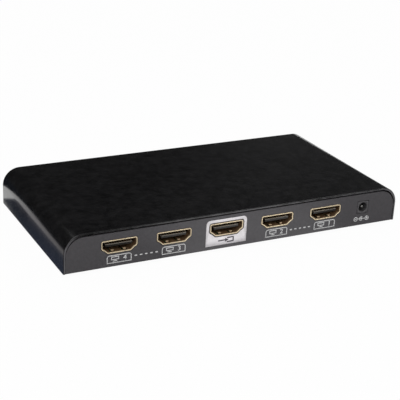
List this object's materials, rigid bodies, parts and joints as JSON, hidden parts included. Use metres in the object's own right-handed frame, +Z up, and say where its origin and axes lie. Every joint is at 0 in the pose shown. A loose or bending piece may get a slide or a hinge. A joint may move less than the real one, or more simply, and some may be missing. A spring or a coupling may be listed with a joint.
{
  "type": "video splitter",
  "caption": "Slim video signal splitter in a low metal case with rounded long edges and a row of gold-rimmed sockets along one side.",
  "frame": {"origin": "on the ground under the middle of the case", "axes": "+X along the row of sockets, to the right as they are faced; +Y from the sockets to the back; +Z up"},
  "size_m": [0.15, 0.075, 0.0176],
  "materials": {
    "cover_black": "satin black coating over extruded aluminium",
    "panel_grey": "fine matt dark grey coating over folded sheet",
    "foot_rubber": "matt black rubber",
    "screw_black": "blackened steel",
    "plated_steel": "bright plated steel",
    "board_green": "green solder resist over glass fibre board",
    "shell_gold": "gold plated stamped shell",
    "contact_gold": "gold plated contacts",
    "insert_black": "moulded black insert",
    "jack_plastic": "moulded dark grey housing",
    "plated_pin": "nickel plated contact",
    "holder_black": "moulded black holder",
    "light_lens": "milky clear lens",
    "tinned_leads": "tinned lead",
    "chip_black": "moulded black package",
    "thermal_grey": "soft grey pad",
    "sink_aluminium": "plain extruded aluminium",
    "ferrite_grey": "dark grey ferrite",
    "crystal_lid": "plated lid",
    "fuse_green": "coated polymer",
    "can_aluminium": "bright can",
    "capacitor_tan": "fired ceramic",
    "resistor_black": "glazed film"
  },
  "bodies": {
    "root": {"base_tray": "panel_grey", "board_screws": "plated_steel", "board_standoffs": "plated_steel", "capacitor_bases": "chip_black", "capacitor_cans": "can_aluminium", "chip_capacitors": "capacitor_tan", "chip_resistors": "resistor_black", "controller_chip": "chip_black", "controller_leads": "tinned_leads", "cover_screws": "screw_black", "crystal": "crystal_lid", "foot_front_left": "foot_rubber", "foot_front_right": "foot_rubber", "foot_rear_left": "foot_rubber", "foot_rear_right": "foot_rubber", "heat_sink": "sink_aluminium", "input_contacts": "contact_gold", "input_diode": "chip_black", "input_insert": "insert_black", "input_shell": "shell_gold", "light_1": "light_lens", "light_1_holder": "holder_black", "light_2": "light_lens", "light_2_holder": "holder_black", "light_3": "light_lens", "light_3_holder": "holder_black", "light_4": "light_lens", "light_4_holder": "holder_black", "light_leads": "tinned_leads", "main_board": "board_green", "memory_chip": "chip_black", "memory_leads": "tinned_leads", "output_1_contacts": "contact_gold", "output_1_insert": "insert_black", "output_1_shell": "shell_gold", "output_2_contacts": "contact_gold", "output_2_insert": "insert_black", "output_2_shell": "shell_gold", "output_3_contacts": "contact_gold", "output_3_insert": "insert_black", "output_3_shell": "shell_gold", "output_4_contacts": "contact_gold", "output_4_insert": "insert_black", "output_4_shell": "shell_gold", "power_inductor": "ferrite_grey", "power_jack_housing": "jack_plastic", "power_jack_leaf": "plated_pin", "power_jack_pin": "plated_pin", "power_light": "light_lens", "power_light_holder": "holder_black", "regulator_chip": "chip_black", "regulator_leads": "tinned_leads", "resettable_fuse": "fuse_green", "splitter_chip": "chip_black", "splitter_chip_pads": "tinned_leads", "surge_arrays": "chip_black", "thermal_pad": "thermal_grey", "top_cover": "cover_black"}
  },
  "joints": []
}
